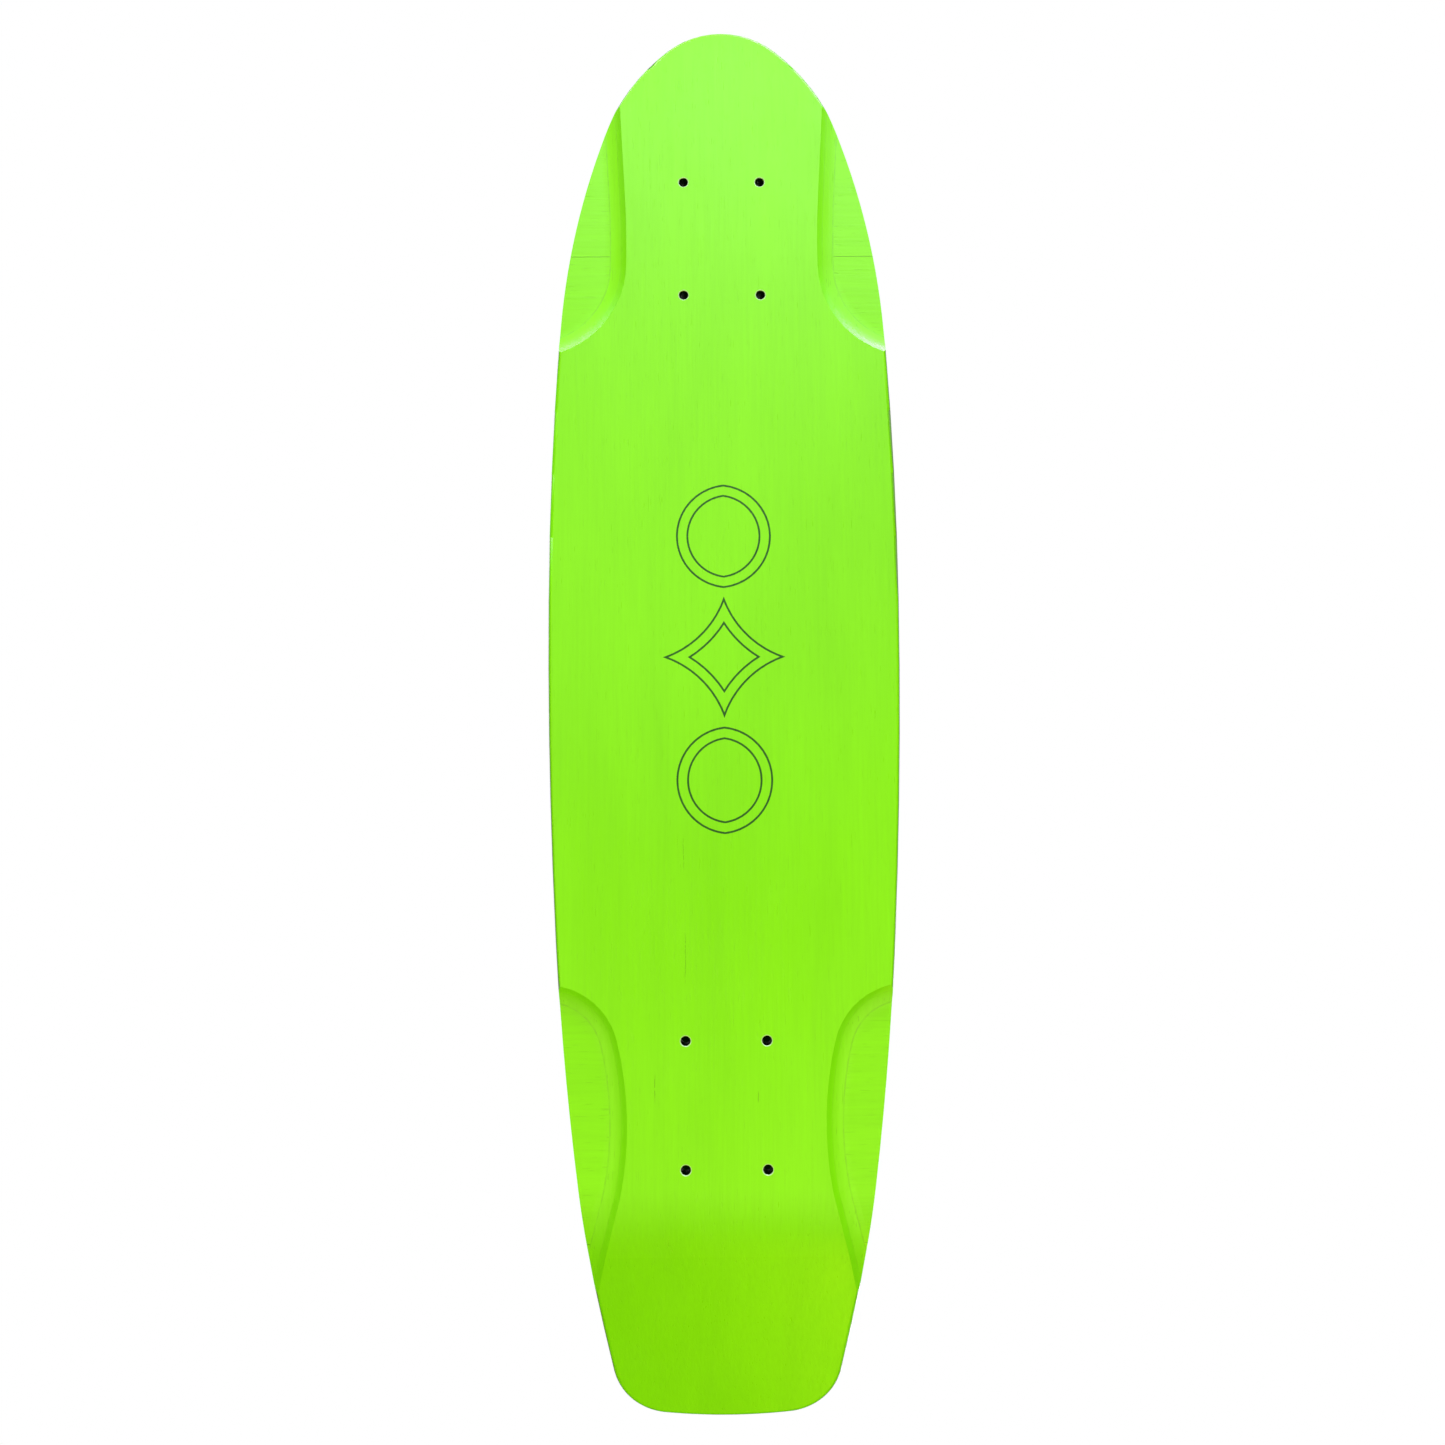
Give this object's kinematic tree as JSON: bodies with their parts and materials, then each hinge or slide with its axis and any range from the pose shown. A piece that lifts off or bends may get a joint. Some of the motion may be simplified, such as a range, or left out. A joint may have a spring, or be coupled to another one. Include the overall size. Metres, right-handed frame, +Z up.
{
  "type": "skateboard deck",
  "caption": "Bare laminated skateboard deck with a rounded nose, kicked tail, routed wheel wells and truck bolt holes.",
  "frame": {"origin": "middle of the deck's plan, on the flat underside", "axes": "+Y to the nose, +Z up through the riding face, X across"},
  "size_m": [0.184, 0.7386, 0.0449],
  "materials": {
    "face_veneer": "green stain under satin lacquer",
    "inner_veneer": "green stain under satin lacquer",
    "cross_veneer": "green stain under satin lacquer",
    "glue": "cured glue, stained",
    "mark": "dark ink"
  },
  "bodies": {
    "root": {"bottom_face_veneer": "face_veneer", "lower_inner_veneer": "inner_veneer", "core_veneer": "inner_veneer", "upper_inner_veneer": "inner_veneer", "top_face_veneer": "face_veneer", "lower_cross_nose": "cross_veneer", "lower_cross_front": "cross_veneer", "lower_cross_rear": "cross_veneer", "lower_cross_tail": "cross_veneer", "upper_cross_nose": "cross_veneer", "upper_cross_front": "cross_veneer", "upper_cross_rear": "cross_veneer", "upper_cross_tail": "cross_veneer", "glue_line_1": "glue", "glue_line_2": "glue", "glue_line_3": "glue", "glue_line_4": "glue", "glue_line_5": "glue", "glue_line_6": "glue", "emblem_line_fill": "mark"}
  },
  "joints": []
}
